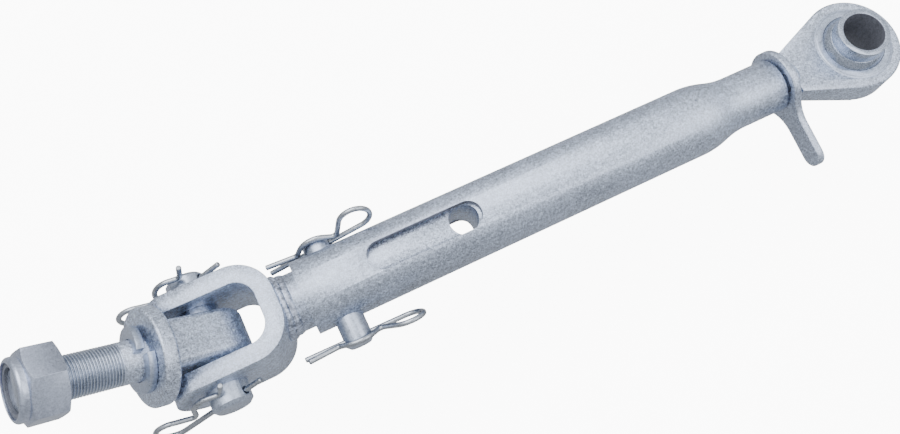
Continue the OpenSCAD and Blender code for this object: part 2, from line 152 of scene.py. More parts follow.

# Zinc grain: noise scales per metre, the share of each noise in the grain, and how far the grain
# and the slower cloud move the colour, the roughness and the height. Then the stains, and the
# painted shade in a thread's roots and painted highlight on its crests.
FINE_SCALE = 1500
MID_SCALE = 600
CRYSTAL_SCALE = 900
CLOUD_SCALE = 28
FINE_SHARE, MID_SHARE, CRYSTAL_SHARE = 1.9, 1.1, 0.3
GRAIN_TONE, DARKEST_GRAIN, CLOUD_TONE = 0.85, -0.3, 0.35
GRAIN_ROUGH, CLOUD_ROUGH = 0.25, 0.3
FINE_HEIGHT, MID_HEIGHT, CRYSTAL_HEIGHT = 0.5, 0.8, 0.35
STAIN_SCALE = 230
STAIN_CONTRAST = 5.0
ROOT_PAINTED_SHADE, CREST_PAINTED_HIGHLIGHT = 0.58, 0.55

# Studio, in metres and watts.
FLOOR_Z = -0.102
FLOOR_HALF = 4.0
FLOOR_TONES = (0.94, 0.97)
FLOOR_BOUNCE = 0.4
BACKDROP_GLOW = 9.0
SKY_COLOUR = (0.96, 0.98, 1, 1)
# the sky's lean towards the ball end and the far side, and its fade: from, to, dim, bright
SKY_LEAN = (0.25, 0.3)
SKY_FADE = (-0.2, 0.95, 0.58, 1.25)
LIT_SPOT = (-0.22, 0, 0)
# lights: name, place, size, power
LIGHTS = [
    ("key", (-0.45, 0.35, 0.9), (1.0, 0.8), 9),
    ("side", (0.4, -0.3, 0.8), (0.8, 0.6), 3.5),
]
# the camera's place, its right and up directions, lens and sensor in millimetres
CAMERA_AT = (-0.3521, -0.1018, 0.4579)
CAMERA_RIGHT = (0.8972, -0.4381, 0.0562)
CAMERA_UP = (0.4067, 0.8691, 0.2814)
CAMERA_LENS = 33.742
CAMERA_SENSOR = 36


# ---------------------------------------------------------------- node helpers
def add(tree, kind, **values):
    """Adds a node and sets its properties."""
    n = tree.nodes.new(kind)
    for k, v in values.items():
        setattr(n, k, v)
    return n


def feed(tree, socket, value):
    """Links a socket or sets a plain value."""
    if isinstance(value, (int, float, tuple)):
        socket.default_value = value
    else:
        tree.links.new(value, socket)


def calc(tree, op, *terms, clamp=False):
    """A math node's result for sockets and plain values."""
    n = add(tree, "ShaderNodeMath", operation=op, use_clamp=clamp)
    for i, term in enumerate(terms):
        feed(tree, n.inputs[i], term)
    return n.outputs[0]


def scaled(tree, vector, factor):
    """A vector or a colour times a factor."""
    n = add(tree, "ShaderNodeVectorMath", operation="SCALE")
    feed(tree, n.inputs[0], vector)
    feed(tree, n.inputs["Scale"], factor)
    return n.outputs[0]


def ranged(tree, value, low, high, to_low, to_high, ease="LINEAR"):
    """A value moved from one range to another, and held within it."""
    n = add(tree, "ShaderNodeMapRange", interpolation_type=ease)
    for i, v in enumerate((value, low, high, to_low, to_high)):
        feed(tree, n.inputs[i], v)
    return n.outputs[0]


def split(tree, vector):
    """A vector's three parts."""
    n = add(tree, "ShaderNodeSeparateXYZ")
    tree.links.new(vector, n.inputs[0])
    return n.outputs


def noise(tree, vector, scale, detail, rough=0.55, distortion=0.0):
    n = add(tree, "ShaderNodeTexNoise")
    n.inputs["Scale"].default_value = scale
    n.inputs["Detail"].default_value = detail
    n.inputs["Roughness"].default_value = rough
    n.inputs["Distortion"].default_value = distortion
    tree.links.new(vector, n.inputs["Vector"])
    return n.outputs["Fac"]


def off_middle(tree, value, share):
    """How far a noise lies from its middle, times a share."""
    return calc(tree, "MULTIPLY", calc(tree, "SUBTRACT", value, 0.5), share)


# ---------------------------------------------------------------- materials
def zinc_grain():
    """Fine sparkling grain of zinc plating: factors for colour and roughness, and a height."""
    g = bpy.data.node_groups.new("zinc_grain", "ShaderNodeTree")
    face = g.interface
    for label in ("Scale", "Grain", "Cloud"):
        s = face.new_socket(label, in_out="INPUT", socket_type="NodeSocketFloat")
        s.default_value = 1.0
    for label in ("Tone", "Rough", "Height"):
        face.new_socket(label, in_out="OUTPUT", socket_type="NodeSocketFloat")
    src = add(g, "NodeGroupInput")
    out = add(g, "NodeGroupOutput")
    place = add(g, "ShaderNodeTexCoord").outputs["Object"]
    at = scaled(g, place, src.outputs["Scale"])
    fine = noise(g, at, FINE_SCALE, 2, 0.6)
    mid = noise(g, at, MID_SCALE, 3, 0.6)
    cloud = noise(g, place, CLOUD_SCALE, 4, 0.55, 0.6)
    crystals = add(g, "ShaderNodeTexVoronoi")
    crystals.inputs["Scale"].default_value = CRYSTAL_SCALE
    g.links.new(at, crystals.inputs["Vector"])
    facet = add(g, "ShaderNodeSeparateColor")
    g.links.new(crystals.outputs["Color"], facet.inputs[0])

    grain = calc(g, "ADD", off_middle(g, fine, FINE_SHARE), off_middle(g, mid, MID_SHARE))
    grain = calc(g, "ADD", grain, off_middle(g, facet.outputs[0], CRYSTAL_SHARE))
    grain = calc(g, "MULTIPLY", grain, src.outputs["Grain"])
    drift = off_middle(g, cloud, src.outputs["Cloud"])
    # the dips are kept shallow: the plating sparkles, it isn't speckled
    tone = calc(g, "MAXIMUM", calc(g, "MULTIPLY", grain, GRAIN_TONE), DARKEST_GRAIN)
    tone = calc(g, "ADD", tone, calc(g, "MULTIPLY", drift, CLOUD_TONE))
    g.links.new(calc(g, "ADD", tone, 1.0), out.inputs["Tone"])
    rough = calc(g, "ADD", calc(g, "MULTIPLY", grain, GRAIN_ROUGH),
                 calc(g, "MULTIPLY", drift, CLOUD_ROUGH))
    g.links.new(rough, out.inputs["Rough"])
    height = calc(g, "ADD", calc(g, "MULTIPLY", fine, FINE_HEIGHT),
                  calc(g, "MULTIPLY", mid, MID_HEIGHT))
    height = calc(g, "ADD", height, calc(g, "MULTIPLY", facet.outputs[1], CRYSTAL_HEIGHT))
    g.links.new(height, out.inputs["Height"])
    return g


GRAIN = zinc_grain()


def new_material(name):
    """A material with a principled shader: the material, its tree and the shader."""
    m = bpy.data.materials.new(name)
    m.use_nodes = True
    t = m.node_tree
    t.nodes.clear()
    out = add(t, "ShaderNodeOutputMaterial")
    shader = add(t, "ShaderNodeBsdfPrincipled")
    t.links.new(shader.outputs[0], out.inputs["Surface"])
    return m, t, shader


def stained(t, base, stain, tarnish, scorch):
    """Mixes patches of a darker colour into a base colour."""
    place = add(t, "ShaderNodeTexCoord").outputs["Object"]
    patch = noise(t, place, STAIN_SCALE, 5, 0.65, 1.2)
    mask = calc(t, "MULTIPLY", calc(t, "SUBTRACT", patch, 0.5), STAIN_CONTRAST, clamp=True)
    mask = calc(t, "MULTIPLY", mask, stain)
    if scorch:
        fade = ranged(t, split(t, place)[0], scorch[0] * MM, scorch[1] * MM, 1.0, 0.0)
        mask = calc(t, "MULTIPLY", mask, fade)
    mix = add(t, "ShaderNodeMix", data_type="RGBA")
    mix.inputs["B"].default_value = (*tarnish, 1)
    t.links.new(mask, mix.inputs["Factor"])
    t.links.new(base, mix.inputs["A"])
    return mix.outputs["Result"]


def plated(name, colour, rough, metal=1.0, scale=1.0, grain=1.0, cloud=1.0, bump=0.4,
           depth=0.05, tarnish=(0.30, 0.31, 0.34), stain=0.0, scorch=None, crests=False):
    """A plated metal: grain in colour, roughness and height, and optional darker stains.

    scorch gives the two places along the strut between which the weld's stains fade out, and
    crests paints shade into a thread's roots and a highlight onto its crests, so the crests come
    out lighter than the roots.
    """
    m, t, shader = new_material(name)
    g = add(t, "ShaderNodeGroup", node_tree=GRAIN)
    g.inputs["Scale"].default_value = scale
    g.inputs["Grain"].default_value = grain
    g.inputs["Cloud"].default_value = cloud
    base = scaled(t, colour, g.outputs["Tone"])
    if stain:
        base = stained(t, base, stain, tarnish, scorch)
    if crests:
        # painted shade in the thread's roots and painted highlight on its crests
        crest = add(t, "ShaderNodeAttribute", attribute_name="crest").outputs["Fac"]
        root_shade_crest_highlight = calc(t, "ADD", calc(t, "MULTIPLY", crest, CREST_PAINTED_HIGHLIGHT), ROOT_PAINTED_SHADE)
        base = scaled(t, base, root_shade_crest_highlight)
    t.links.new(base, shader.inputs["Base Color"])
    t.links.new(calc(t, "ADD", g.outputs["Rough"], rough, clamp=True),
                shader.inputs["Roughness"])
    shader.inputs["Metallic"].default_value = metal
    bumps = add(t, "ShaderNodeBump")
    bumps.inputs["Strength"].default_value = bump
    bumps.inputs["Distance"].default_value = depth * MM
    t.links.new(g.outputs["Height"], bumps.inputs["Height"])
    t.links.new(bumps.outputs[0], shader.inputs["Normal"])
    return m


ZINC = (0.48, 0.54, 0.66)
TURNED_ZINC = (0.44, 0.50, 0.62)
MATS = {
    "tube": plated("tube_zinc", ZINC, 0.44, grain=1.4, bump=1.0, depth=0.11),
    "bar": plated("bar_zinc", ZINC, 0.42, grain=1.5, bump=0.8, depth=0.09, stain=0.9,
                  scorch=(-371, -352), tarnish=(0.16, 0.17, 0.21)),
    "forged": plated("forged_zinc", (0.50, 0.56, 0.68), 0.44, grain=1.5, bump=1.0, depth=0.12),
    "strap": plated("strap_zinc", ZINC, 0.46, grain=1.4, bump=1.0, depth=0.12, stain=0.1),
    "pin": plated("pin_zinc", (0.46, 0.52, 0.64), 0.36, grain=0.7),
    "wire": plated("clip_wire", (0.40, 0.43, 0.48), 0.30, grain=0.6, bump=0.25),
    "nut": plated("nut_zinc", (0.47, 0.52, 0.64), 0.34, grain=0.45, cloud=0.6, bump=0.25),
    "thread": plated("thread_zinc", (0.54, 0.60, 0.72), 0.30, grain=0.5, bump=0.2, crests=True),
    "weld": plated("weld_metal", (0.44, 0.49, 0.60), 0.42, scale=0.5, grain=1.8, bump=1.0,
                   depth=0.3, stain=0.8, tarnish=(0.13, 0.14, 0.18)),
    "washer": plated("washer_zinc", TURNED_ZINC, 0.36, grain=0.6, bump=0.3),
    "race": plated("race_zinc", TURNED_ZINC, 0.38, grain=0.8),
    "ball": plated("ball_zinc", (0.41, 0.46, 0.56), 0.28, grain=0.7, bump=0.3),
    # the dark bore material also paints shade on the long slot's walls
    "bore": plated("dark_bore_and_painted_slot_shade", (0.20, 0.21, 0.25), 0.5, metal=0.6, grain=0.7, bump=0.3),
    "nylon": plated("nylon_ring", (0.12, 0.13, 0.16), 0.5, metal=0.0, grain=0.4, bump=0.2),
}


# ---------------------------------------------------------------- geometry helpers
def turn(axis, angle):
    return Matrix.Rotation(math.radians(angle), 4, axis)


def shift(x, y, z):
    return Matrix.Translation(Vector((x, y, z)) * MM)


AT_HINGE = shift(HINGE_X, 0, 0) @ turn("X", FORK_ROLL)
STUD_AXIS = AT_HINGE @ turn("Y", STUD_ANGLE) @ turn("Y", -90)


def geometry_tree(name, inputs):
    """A geometry node tree with a geometry socket, named inputs, and its two end nodes."""
    tree = bpy.data.node_groups.new(name, "GeometryNodeTree")
    face = tree.interface
    face.new_socket("Geometry", in_out="INPUT", socket_type="NodeSocketGeometry")
    for label, kind, value in inputs:
        s = face.new_socket(label, in_out="INPUT", socket_type="NodeSocket" + kind)
        if value is not None:
            s.default_value = value
    face.new_socket("Geometry", in_out="OUTPUT", socket_type="NodeSocketGeometry")
    return tree, add(tree, "NodeGroupInput"), add(tree, "NodeGroupOutput")


def finish_tree(tree, src, out, geometry):
    """Ends a tree with real instances, smooth faces and its material."""
    real = add(tree, "GeometryNodeRealizeInstances")
    smooth = add(tree, "GeometryNodeSetShadeSmooth")
    coat = add(tree, "GeometryNodeSetMaterial")
    tree.links.new(geometry, real.inputs[0])
    tree.links.new(real.outputs[0], smooth.inputs[0])
    tree.links.new(smooth.outputs[0], coat.inputs[0])
    tree.links.new(src.outputs["Material"], coat.inputs["Material"])
    tree.links.new(coat.outputs[0], out.inputs[0])


def swept_round(tree, curve, radius, sides, caps=False):
    """Sweeps a circle along a curve, with the circle's radius given at each point."""
    sized = add(tree, "GeometryNodeSetCurveRadius")
    tree.links.new(curve, sized.inputs[0])
    tree.links.new(radius, sized.inputs["Radius"])
    ring = add(tree, "GeometryNodeCurvePrimitiveCircle")
    tree.links.new(sides, ring.inputs["Resolution"])
    ring.inputs["Radius"].default_value = 1
    stored = add(tree, "GeometryNodeInputRadius")
    tube = add(tree, "GeometryNodeCurveToMesh")
    tube.inputs["Fill Caps"].default_value = caps
    tree.links.new(sized.outputs[0], tube.inputs["Curve"])
    tree.links.new(ring.outputs[0], tube.inputs["Profile Curve"])
    tree.links.new(stored.outputs[0], tube.inputs["Scale"])
    return tube.outputs[0]


def bake(obj):
    """Turns an object's modifiers into its plain mesh."""
    deps = bpy.context.evaluated_depsgraph_get()
    deps.update()
    mesh = bpy.data.meshes.new_from_object(obj.evaluated_get(deps))
    mesh.name = obj.name + "_mesh"
    obj.modifiers.clear()
    obj.data = mesh
    return obj


def grow(obj, tree, values):
    """Runs a geometry node tree on an object and bakes the result."""
    mod = obj.modifiers.new(tree.name, "NODES")
    mod.node_group = tree
    for item in tree.interface.items_tree:
        if item.in_out == "INPUT" and item.name in values:
            mod[item.identifier] = values[item.name]
    return bake(obj)


def placed(name, data):
    """An object with its mesh, light or camera, linked into the scene."""
    obj = bpy.data.objects.new(name, data)
    SCENE.collection.objects.link(obj)
    return obj


def new_object(name, verts=(), edges=(), faces=()):
    mesh = bpy.data.meshes.new(name)
    mesh.from_pydata([tuple(v) for v in verts], list(edges), list(faces))
    return placed(name, mesh)


def outward(obj):
    """Makes the faces of a closed mesh point outwards."""
    bm = bmesh.new()
    bm.from_mesh(obj.data)
    bmesh.ops.recalc_face_normals(bm, faces=bm.faces)
    if bm.calc_volume(signed=True) < 0:
        bmesh.ops.reverse_faces(bm, faces=bm.faces)
    bm.to_mesh(obj.data)
    bm.free()
    return obj


def merged_copy(node, name):
    """A merged copy of a CAD node's mesh, with flat areas as single faces."""
    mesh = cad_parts[node].data.copy()
    mesh.name = name
    bm = bmesh.new()
    bm.from_mesh(mesh)
    bmesh.ops.remove_doubles(bm, verts=bm.verts, dist=MERGE)
    bmesh.ops.dissolve_degenerate(bm, edges=bm.edges, dist=SLIVER)
    bmesh.ops.dissolve_limit(bm, angle_limit=math.radians(FLAT_FACES), verts=bm.verts,
                             edges=bm.edges)
    bmesh.ops.recalc_face_normals(bm, faces=bm.faces)
    bm.to_mesh(mesh)
    bm.free()
    return placed(name, mesh)


def broken_edges(obj, width):
    """Rounds off a piece's sharp edges, as plating and tumbling leave them."""
    for p in obj.data.polygons:
        p.use_smooth = True
    mod = obj.modifiers.new("broken_edges", "BEVEL")
    mod.width = width * MM
    mod.segments = EDGE_SEGMENTS
    mod.limit_method = "ANGLE"
    mod.angle_limit = math.radians(SHARP_EDGE)
    mod.harden_normals = True
    mod.miter_outer = "MITER_ARC"
    return bake(obj)


def cut_off(obj, point, normal):
    """Removes what lies beyond a plane and closes the cut."""
    bm = bmesh.new()
    bm.from_mesh(obj.data)
    geom = bm.verts[:] + bm.edges[:] + bm.faces[:]
    res = bmesh.ops.bisect_plane(bm, geom=geom, plane_co=point, plane_no=normal,
                                 clear_outer=True, dist=CUT)
    rim = [e for e in res["geom_cut"] if isinstance(e, bmesh.types.BMEdge)]
    bmesh.ops.holes_fill(bm, edges=rim)
    bmesh.ops.recalc_face_normals(bm, faces=bm.faces)
    bm.to_mesh(obj.data)
    bm.free()


def join(parts, name):
    """Joins finished meshes, each with its own material, into one piece."""
    bpy.ops.object.select_all(action="DESELECT")
    for p in parts:
        p.select_set(True)
    bpy.context.view_layer.objects.active = parts[0]
    bpy.ops.object.join()
    parts[0].name = name
    parts[0].data.name = name
    return parts[0]


def paint(obj, mat):
    """Gives a piece one material."""
    obj.data.materials.clear()
    obj.data.materials.append(MATS[mat])


def mount(obj, body, node):
    """Rides a piece on its body in the place of a CAD node."""
    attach(obj, body)
    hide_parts(node)


# ---------------------------------------------------------------- threads
def thread_tree():
    """A screw thread along +Z as a closed solid: a grid rolled up and cut by a helix."""
    tree, src, out = geometry_tree("screw_thread", [
        ("Length", "Float", 0.04), ("Pitch", "Float", 0.0015),
        ("Crest Radius", "Float", 0.011), ("Root Radius", "Float", 0.0101),
        ("Run Out", "Float", 0.001), ("Tip Chamfer", "Float", 0.001),
        ("Rows", "Int", 300), ("Columns", "Int", 96), ("Material", "Material", None)])
    length, crest_r = src.outputs["Length"], src.outputs["Crest Radius"]
    root_r, rows = src.outputs["Root Radius"], src.outputs["Rows"]
    grid = add(tree, "GeometryNodeMeshGrid")
    grid.inputs["Size X"].default_value = 1
    grid.inputs["Size Y"].default_value = 1
    tree.links.new(rows, grid.inputs["Vertices X"])
    tree.links.new(src.outputs["Columns"], grid.inputs["Vertices Y"])
    axes = split(tree, add(tree, "GeometryNodeInputPosition").outputs[0])

    # the first and the last row close the ends, at radius nought
    row = calc(tree, "MULTIPLY", calc(tree, "ADD", axes[0], 0.5),
               calc(tree, "SUBTRACT", rows, 1))
    last = calc(tree, "SUBTRACT", rows, 2)
    along = ranged(tree, row, 1, last, 0, length)
    skin = calc(tree, "MULTIPLY", calc(tree, "GREATER_THAN", row, 0.5),
                calc(tree, "LESS_THAN", row, calc(tree, "ADD", last, 0.5)))

    # the thread's profile: nought at the root, one at the crest, flattened at both
    around = calc(tree, "ADD", axes[1], 0.5)
    turns = calc(tree, "DIVIDE", along, src.outputs["Pitch"])
    phase = calc(tree, "FRACT", calc(tree, "ADD", calc(tree, "SUBTRACT", turns, around), 8))
    swing = calc(tree, "SUBTRACT", calc(tree, "MULTIPLY", phase, 2), 1)
    flank = calc(tree, "SUBTRACT", 1, calc(tree, "ABSOLUTE", swing))
    radius = ranged(tree, flank, *THREAD_FLATS, root_r, crest_r)
    depth = calc(tree, "SUBTRACT", crest_r, radius)
    fade = ranged(tree, along, 0, src.outputs["Run Out"], RUN_OUT_DEPTH, 1)
    radius = calc(tree, "SUBTRACT", crest_r, calc(tree, "MULTIPLY", depth, fade))

    # the tip's chamfer
    left = calc(tree, "SUBTRACT", length, along)
    limit = calc(tree, "ADD", calc(tree, "SUBTRACT", crest_r, src.outputs["Tip Chamfer"]), left)
    radius = calc(tree, "MULTIPLY", calc(tree, "MINIMUM", radius, limit), skin)

    angle = calc(tree, "MULTIPLY", around, 2 * math.pi)
    spot = add(tree, "ShaderNodeCombineXYZ")
    tree.links.new(calc(tree, "MULTIPLY", radius, calc(tree, "COSINE", angle)), spot.inputs[0])
    tree.links.new(calc(tree, "MULTIPLY", radius, calc(tree, "SINE", angle)), spot.inputs[1])
    tree.links.new(along, spot.inputs[2])
    keep = add(tree, "GeometryNodeStoreNamedAttribute", data_type="FLOAT", domain="POINT")
    keep.inputs["Name"].default_value = "crest"
    height = calc(tree, "SUBTRACT", 1, calc(
        tree, "DIVIDE", depth, calc(tree, "SUBTRACT", crest_r, root_r)), clamp=True)
    tree.links.new(grid.outputs["Mesh"], keep.inputs["Geometry"])
    tree.links.new(height, keep.inputs["Value"])
    move = add(tree, "GeometryNodeSetPosition")
    weld = add(tree, "GeometryNodeMergeByDistance")
    weld.inputs["Distance"].default_value = MERGE
    tree.links.new(keep.outputs[0], move.inputs["Geometry"])
    tree.links.new(spot.outputs[0], move.inputs["Position"])
    tree.links.new(move.outputs[0], weld.inputs["Geometry"])
    finish_tree(tree, src, out, weld.outputs[0])
    return tree


THREAD = thread_tree()


def thread(name, length, pitch, outer_d, place, rows_per_turn):
    """A thread from the tree above, moved to its place."""
    obj = grow(new_object(name), THREAD, {
        "Length": length * MM, "Pitch": pitch * MM, "Crest Radius": outer_d / 2 * MM,
        "Root Radius": (outer_d / 2 - THREAD_DEPTH * pitch) * MM,
        "Run Out": THREAD_RUN_OUT * pitch * MM, "Tip Chamfer": pitch * MM,
        "Rows": int(length / pitch * rows_per_turn), "Columns": THREAD_COLUMNS,
        "Material": MATS["thread"]})
    obj.data.transform(place)
    return outward(obj)


def threaded_piece(body, screw, name, rides, node):
    """Joins a forged body, already cut, to its thread."""
    broken_edges(body, FORGED_EDGE)
    paint(body, "forged")
    mount(join([body, screw], name), rides, node)


def stud_bolt():
    body = merged_copy("eye_bolt", "eye_bolt_forged")
    along = (STUD_AXIS.to_3x3() @ Vector((0, 0, 1))).normalized()
    cut_off(body, STUD_AXIS @ Vector((0, 0, THREAD_START * MM)), along)
    start = THREAD_START - STUD_THREAD_LAP
    screw = thread("stud_thread", STUD_REACH - start, STUD_PITCH, STUD_D,
                   STUD_AXIS @ shift(0, 0, start), STUD_ROWS)
    threaded_piece(body, screw, "eye_bolt_threaded", "bolt", "eye_bolt")


def eye_rod_piece():
    body = merged_copy("eye_rod", "eye_head_forged")
    cut_off(body, Vector((LEVER_RIGHT * MM, 0, 0)), Vector((-1, 0, 0)))
    end = LEVER_RIGHT + ROD_THREAD_LAP
    screw = thread("rod_thread", end - ROD_END, ROD_PITCH, ROD_D,
                   shift(end, 0, 0) @ turn("Y", -90), ROD_ROWS)
    threaded_piece(body, screw, "eye_rod_threaded", "eye", "eye_rod")


# ---------------------------------------------------------------- spring wire clips
def wire_tree():
    """A round wire along a path of edges, with its two ends rounded over."""
    tree, src, out = geometry_tree("spring_wire", [
        ("Wire Radius", "Float", 0.0015), ("Tip Rounding", "Float", 0.0006),
        ("Sides", "Int", 24), ("Material", "Material", None)])
    path = add(tree, "GeometryNodeMeshToCurve")
    tree.links.new(src.outputs["Geometry"], path.inputs[0])
    gone = add(tree, "GeometryNodeSplineParameter").outputs["Length"]
    whole = add(tree, "GeometryNodeSplineLength").outputs["Length"]
    near = calc(tree, "MINIMUM", gone, calc(tree, "SUBTRACT", whole, gone))
    back = calc(tree, "SUBTRACT", 1, calc(
        tree, "DIVIDE", near, src.outputs["Tip Rounding"], clamp=True))
    dome = calc(tree, "SQRT", calc(tree, "SUBTRACT", 1, calc(tree, "MULTIPLY", back, back)))
    size = calc(tree, "ADD", calc(tree, "MULTIPLY", dome, 1 - TIP_SHARE), TIP_SHARE)
    radius = calc(tree, "MULTIPLY", size, src.outputs["Wire Radius"])
    wire = swept_round(tree, path.outputs[0], radius, src.outputs["Sides"], caps=True)
    finish_tree(tree, src, out, wire)
    return tree


WIRE = wire_tree()


def polar(c, r, a):
    """A point at a radius and an angle from a centre."""
    return (c[0] + r * math.cos(math.radians(a)), c[1] + r * math.sin(math.radians(a)))


def arc(c, r, a, b):
    """Points along an arc of a circle, between two angles."""
    n = max(2, int(abs(b - a) / ARC_STEP))
    return [polar(c, r, a + (b - a) * i / n) for i in range(n + 1)]


def hairpin_path(open_slope, tail, tail_slope):
    """The clip's middle line in its own plane: straight leg, loop, wavy leg, tail."""
    bow_r = (LOCK_PIN_D / 2 + WIRE_R + CLIP_FIT) / math.cos(math.radians(LOWER_SWING))
    rise = math.radians(BOW_RISE)
    bow_in = polar((0, 0), bow_r, BOW_RISE)
    bow_out = polar((0, 0), bow_r, 180 - BOW_RISE)
    ramp = (bow_in[1] - LEG_PINCH - WIRE_BEND * (1 - math.cos(rise))) / math.sin(rise)
    pinch_c = polar((bow_in[0] + ramp * math.cos(rise), bow_in[1] - ramp * math.sin(rise)),
                    WIRE_BEND, BOW_RISE)
    loop_c = (LOOP_OFF, LOOP_R)
    span = math.dist(pinch_c, loop_c)
    lean = math.degrees(math.atan2(loop_c[1] - pinch_c[1], loop_c[0] - pinch_c[0]))
    dip = math.degrees(math.asin((LOOP_R + WIRE_BEND) / span)) + lean
    tail_c = polar((bow_out[0] - ramp * math.cos(rise), bow_out[1] - ramp * math.sin(rise)),
                   WIRE_BEND, 180 - BOW_RISE)
    tail_start = polar(tail_c, WIRE_BEND, 270 - tail_slope)
    tail_end = polar(tail_start, tail, 180 - tail_slope)
    wavy = (arc(pinch_c, WIRE_BEND, 270 + dip, 180 + BOW_RISE)
            + arc((0, 0), bow_r, BOW_RISE, 180 - BOW_RISE)
            + arc(tail_c, WIRE_BEND, 360 - BOW_RISE, 270 - tail_slope) + [tail_end])
    wavy = [(x, y + open_slope * (LOOP_OFF - x)) for x, y in wavy]
    return [(-LEG_PAST, 0)] + arc(loop_c, LOOP_R, -90, 90 + dip) + wavy


def with_tips(points, rounding):
    """Adds close points at both ends of a path, for the rounded tips."""
    def tip(a, b):
        a, b = Vector(a), Vector(b)
        d = (b - a).normalized()
        return [a + d * rounding * f for f in (0, 0.12, 0.3, 0.6, 1.0)]
    head = tip(points[0], points[1])
    foot = tip(points[-1], points[-2])
    return head + [Vector(p) for p in points[1:-1]] + foot[::-1]


def hairpin_clip(name, place, shape, body):
    tip = TIP_ROUNDING * MM
    pts = with_tips([(x * MM, y * MM, 0) for x, y in hairpin_path(*shape)], tip)
    host = new_object(name, pts, [(i, i + 1) for i in range(len(pts) - 1)])
    obj = grow(host, WIRE, {"Wire Radius": WIRE_R * MM, "Tip Rounding": tip,
                            "Sides": WIRE_SIDES, "Material": MATS["wire"]})
    obj.data.transform(place)
    outward(obj)
    paint(obj, "wire")
    mount(obj, body, name)


def locking_clip(name, side, turned, swing):
    """A clip across the locking pin, its straight leg through the pin's hole."""
    lock_shift = TUBE_R + WIRE_R + CLIP_FIT - LOCK_HOLE_OFF
    place = (shift(LOCK_X, lock_shift + side * LOCK_HOLE_OFF, 0) @ turn("Y", -turned)
             @ turn("X", 90 - swing))
    hairpin_clip(name, place, LOCKING_CLIP, "locking_pin_set")


def hinge_clip(name, side, off, swing):
    """A clip across the hinge pin, a little off its middle."""
    place = (AT_HINGE @ shift(0, side * HINGE_HOLE_OFF, 0) @ turn("Y", -HINGE_CLIP_TURN)
             @ turn("X", 90 - swing) @ turn("Y", 180) @ shift(off, 0, 0))
    hairpin_clip(name, place, HINGE_CLIP, "hinge_pin_set")


# ---------------------------------------------------------------- weld bead
def weld_tree():
    """A rippled bead along a closed path, with an uneven skin."""
    tree, src, out = geometry_tree("rippled_bead", [
        ("Bead Radius", "Float", 0.003), ("Ripples", "Float", 46.0),
        ("Ripple Height", "Float", 0.12), ("Lump Height", "Float", 0.0004),
        ("Points", "Int", 520), ("Sides", "Int", 20), ("Material", "Material", None)])
    path = add(tree, "GeometryNodeMeshToCurve")
    even = add(tree, "GeometryNodeResampleCurve")
    tree.links.new(src.outputs["Geometry"], path.inputs[0])
    tree.links.new(path.outputs[0], even.inputs["Curve"])
    tree.links.new(src.outputs["Points"], even.inputs["Count"])
    where = add(tree, "GeometryNodeSplineParameter").outputs["Factor"]
    ripple = calc(tree, "FRACT", calc(tree, "MULTIPLY", where, src.outputs["Ripples"]))
    wave = calc(tree, "POWER", ripple, RIPPLE_POWER)
    swell = calc(tree, "ADD", calc(
        tree, "MULTIPLY", wave, src.outputs["Ripple Height"]), RIPPLE_BASE)
    radius = calc(tree, "MULTIPLY", swell, src.outputs["Bead Radius"])
    bead = swept_round(tree, even.outputs[0], radius, src.outputs["Sides"])
    place = add(tree, "GeometryNodeInputPosition").outputs[0]
    skin = noise(tree, place, LUMP_SCALE, 3, 0.5)
    lumps = off_middle(tree, skin, src.outputs["Lump Height"])
    normal = add(tree, "GeometryNodeInputNormal").outputs[0]
    move = add(tree, "GeometryNodeSetPosition")
    tree.links.new(bead, move.inputs["Geometry"])
    tree.links.new(scaled(tree, normal, lumps), move.inputs["Offset"])
    finish_tree(tree, src, out, move.outputs[0])
    return tree


WELD = weld_tree()


def fork_back(h):
    """Where the fork's back lies along the strut at a height above its middle."""
    straight = FORK_H / 2 - BEND_R
    over = max(0.0, abs(h) - straight)
    return FORK_REACH - BEND_R + math.sqrt(BEND_R * BEND_R - over * over)


def weld_pass(name, ring, off, radius, lump):
    """One pass of weld round the bar, a little off the fork's back."""
    pts = []
    for i in range(WELD_STEPS):
        a = 2 * math.pi * i / WELD_STEPS
        y, z = ring * math.cos(a), ring * math.sin(a)
        pts.append(AT_HINGE @ (Vector((fork_back(y) + off, y, z)) * MM))
    host = new_object(name, pts, [(i, (i + 1) % WELD_STEPS) for i in range(WELD_STEPS)])
    return outward(grow(host, WELD, {
        "Bead Radius": radius * MM, "Lump Height": lump * MM, "Ripple Height": WELD_RIPPLE,
        "Material": MATS["weld"]}))


def weld_bead():
    bead = join([weld_pass(*p) for p in WELD_PASSES], "weld_bead_rippled")
    paint(bead, "weld")
    mount(bead, "strut", "weld_bead")


# ---------------------------------------------------------------- rigid pieces
def swaged_radius(x):
    """Outer radius of the tube at a place along it, with both corners of the taper rounded."""
    slope = (NECK_R - TUBE_R) / (NECK_START - TAPER_START)
    for corner, radius, before, after in ((TAPER_START, TUBE_R, 0, slope),
                                          (NECK_START, NECK_R, slope, 0)):
        d = x - corner
        if abs(d) < TAPER_BLEND:
            return (radius + before * d
                    + (after - before) * (d + TAPER_BLEND) ** 2 / (4 * TAPER_BLEND))
    if TAPER_START < x < NECK_START:
        return TUBE_R + slope * (x - TAPER_START)
    return TUBE_R if x <= TAPER_START else NECK_R


